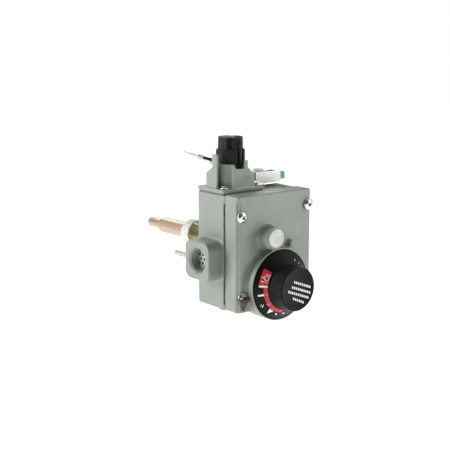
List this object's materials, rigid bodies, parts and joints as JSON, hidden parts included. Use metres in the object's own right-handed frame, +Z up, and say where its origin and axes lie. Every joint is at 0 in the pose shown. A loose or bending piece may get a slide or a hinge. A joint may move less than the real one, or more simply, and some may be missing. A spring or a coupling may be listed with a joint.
{
  "type": "water heater gas control valve",
  "caption": "Gas control valve with a rear immersion probe, side gas port, front temperature dial, top gas knob and a push-button piezo igniter.",
  "frame": {"origin": "centre of the thermostat shank where its sealed thread enters the tank, at the front end of the thread", "axes": "+X to the right seen from the front cover, +Y from the front cover back into the tank along the probe, +Z up"},
  "size_m": [0.0876, 0.1785, 0.1383],
  "materials": {
    "cast_alloy": "die-cast, fine matt grain",
    "gasket": "matt",
    "zinc_plate": "bright zinc plating",
    "bright_steel": "bright sheet steel",
    "steel": "plain",
    "brass": "dulled, turned",
    "copper": "pale drawn copper tube",
    "black_plastic": "satin moulded",
    "green_plastic": "satin moulded",
    "pale_plastic": "moulded",
    "thread_seal": "dry white thread sealant",
    "seal_paint": "red-brown tamper lacquer",
    "wire_jacket": "silicone lead"
  },
  "bodies": {
    "casting": {"valve_body": "cast_alloy", "cover_gasket": "gasket", "front_cover": "cast_alloy", "cover_screw_1": "zinc_plate", "cover_screw_2": "zinc_plate", "cover_screw_3": "zinc_plate", "cover_screw_4": "zinc_plate", "tamper_seal": "seal_paint", "regulator_cap": "bright_steel", "regulator_adjuster": "brass", "regulator_spring": "steel", "test_port_plug": "cast_alloy", "dial_bushing": "brass", "gas_cock_housing": "cast_alloy", "housing_gasket": "gasket", "housing_screw_1": "zinc_plate", "housing_screw_2": "zinc_plate", "housing_screw_3": "zinc_plate", "knob_spring": "steel", "cock_spring": "steel", "safety_spring": "steel", "safety_magnet": "bright_steel", "thermostat_shank": "brass", "shank_thread_collar": "thread_seal", "probe_tube": "copper", "thermostat_rod": "steel", "eco_fuse": "pale_plastic", "rear_stud": "steel", "snap_disc": "steel", "lever_pin": "steel", "main_valve_spring": "steel", "inlet_screen": "steel", "pilot_nut": "brass", "thermocouple_nut": "brass", "igniter_bracket": "bright_steel", "igniter_body": "black_plastic", "plunger_spring": "steel", "igniter_clip": "pale_plastic", "igniter_lead": "wire_jacket", "lead_sleeve": "pale_plastic", "lead_terminal": "zinc_plate", "lead_clip": "steel", "lead_clip_screw": "zinc_plate"},
    "reset_stem": {"knob_stem": "steel"},
    "gas_knob": {"gas_knob": "black_plastic"},
    "gas_cock": {"gas_cock_plug": "brass", "cock_driver": "steel"},
    "pilot_safety": {"safety_valve": "steel"},
    "dial": {"temperature_dial": "black_plastic", "dial_stem": "brass"},
    "main_valve": {"main_valve_disc": "gasket"},
    "lever": {"thermostat_lever": "bright_steel"},
    "regulator": {"diaphragm_plate": "bright_steel", "regulator_diaphragm": "gasket"},
    "plunger": {"igniter_plunger": "green_plastic"},
    "hammer": {"igniter_hammer": "steel"}
  },
  "joints": [
    {"name": "knob_push", "type": "slide", "parent": "casting", "child": "reset_stem", "axis": [0, 0, -1], "range_m": [0, 0.0035], "stiffness_N_per_m": 900, "springref_m": -0.0005, "deforming": ["knob_spring"]},
    {"name": "knob_turn", "type": "hinge", "parent": "reset_stem", "child": "gas_knob", "pos_m": [-0.009, -0.0531, 0.06], "axis": [0, 0, 1], "range_deg": [0, 180]},
    {"name": "cock_turn", "type": "hinge", "parent": "casting", "child": "gas_cock", "pos_m": [-0.009, -0.0531, 0.04], "axis": [0, 0, 1], "range_deg": [0, 180]},
    {"name": "safety_lift", "type": "slide", "parent": "casting", "child": "pilot_safety", "axis": [0, 0, -1], "range_m": [0, 0.0035], "deforming": ["safety_spring"]},
    {"name": "dial_turn", "type": "hinge", "parent": "casting", "child": "dial", "pos_m": [0.0077, -0.0956, -0.0258], "axis": [0, 1, 0], "range_deg": [-110, 160]},
    {"name": "valve_lift", "type": "slide", "parent": "casting", "child": "main_valve", "axis": [0, -1, 0], "range_m": [0, 0.003], "stiffness_N_per_m": 300, "springref_m": -0.001, "deforming": ["main_valve_spring"]},
    {"name": "lever_tilt", "type": "hinge", "parent": "casting", "child": "lever", "pos_m": [-0.012, -0.0671, 0], "axis": [0, 0, -1], "range_deg": [0, 4.8]},
    {"name": "regulator_travel", "type": "slide", "parent": "casting", "child": "regulator", "axis": [0, 1, 0], "range_m": [0, 0.001], "stiffness_N_per_m": 400, "deforming": ["regulator_spring"]},
    {"name": "plunger_press", "type": "slide", "parent": "casting", "child": "plunger", "axis": [-1, 0, 0], "range_m": [0, 0.004], "stiffness_N_per_m": 500, "springref_m": -0.0005, "deforming": ["plunger_spring"]},
    {"name": "hammer_draw", "type": "slide", "parent": "casting", "child": "hammer", "axis": [-1, 0, 0], "range_m": [0, 0.002]}
  ],
  "couplings": [
    {"joint": "cock_turn", "follows": "knob_turn", "ratio": 1},
    {"joint": "safety_lift", "follows": "knob_push", "ratio": 1},
    {"joint": "lever_tilt", "follows": "valve_lift", "rad_per_m": 27.7},
    {"joint": "hammer_draw", "follows": "plunger_press", "ratio": 0.5}
  ]
}
